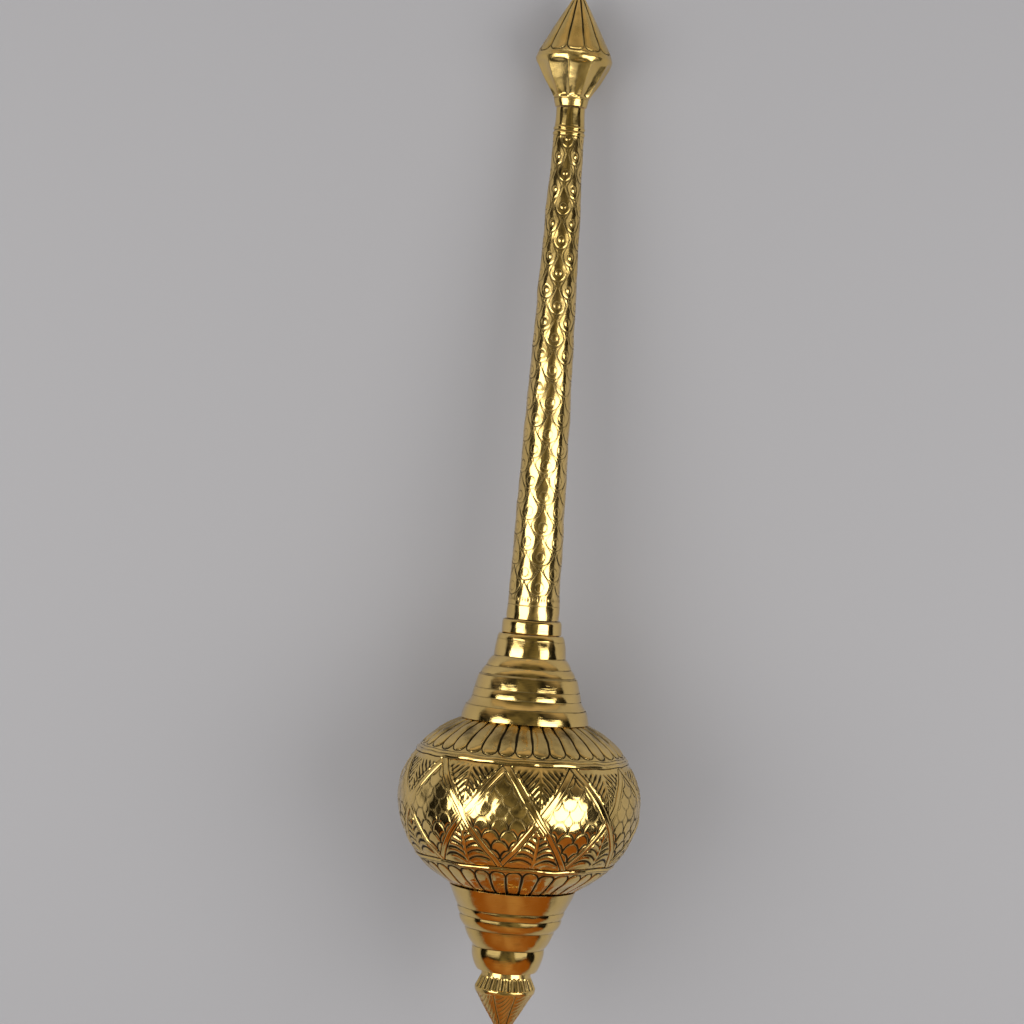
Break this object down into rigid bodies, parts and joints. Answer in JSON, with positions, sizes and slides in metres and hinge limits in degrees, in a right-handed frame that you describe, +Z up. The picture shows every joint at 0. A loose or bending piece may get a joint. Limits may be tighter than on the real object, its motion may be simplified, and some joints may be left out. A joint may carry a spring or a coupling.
{
  "type": "ceremonial mace",
  "caption": "Ceremonial mace with a pointed pommel, a chased tapering shaft and a large embossed round head held between stepped cones, ending in a pointed finial.",
  "frame": {"origin": "centre of the bounding box on the floor that the mace lies on", "axes": "+Y along the mace towards its handle end, +Z up from the floor, X across the head"},
  "size_m": [0.2194, 0.934, 0.2176],
  "materials": {
    "cast_brass": "polished cast brass, dark in its cut lines",
    "chased_brass": "polished brass tube with hand-chased scales, dark in the lines",
    "spun_brass": "mirror-polished spun brass, slightly wavy",
    "embossed_brass": "embossed sheet brass, polished on the heights and olive-brown in the grooves"
  },
  "bodies": {
    "root": {"pommel_finial": "cast_brass", "shaft": "chased_brass", "shaft_ferrule": "spun_brass", "upper_neck_cone": "spun_brass", "head_bulb": "embossed_brass", "lower_neck_cone": "spun_brass", "tip_finial": "cast_brass"}
  },
  "joints": []
}
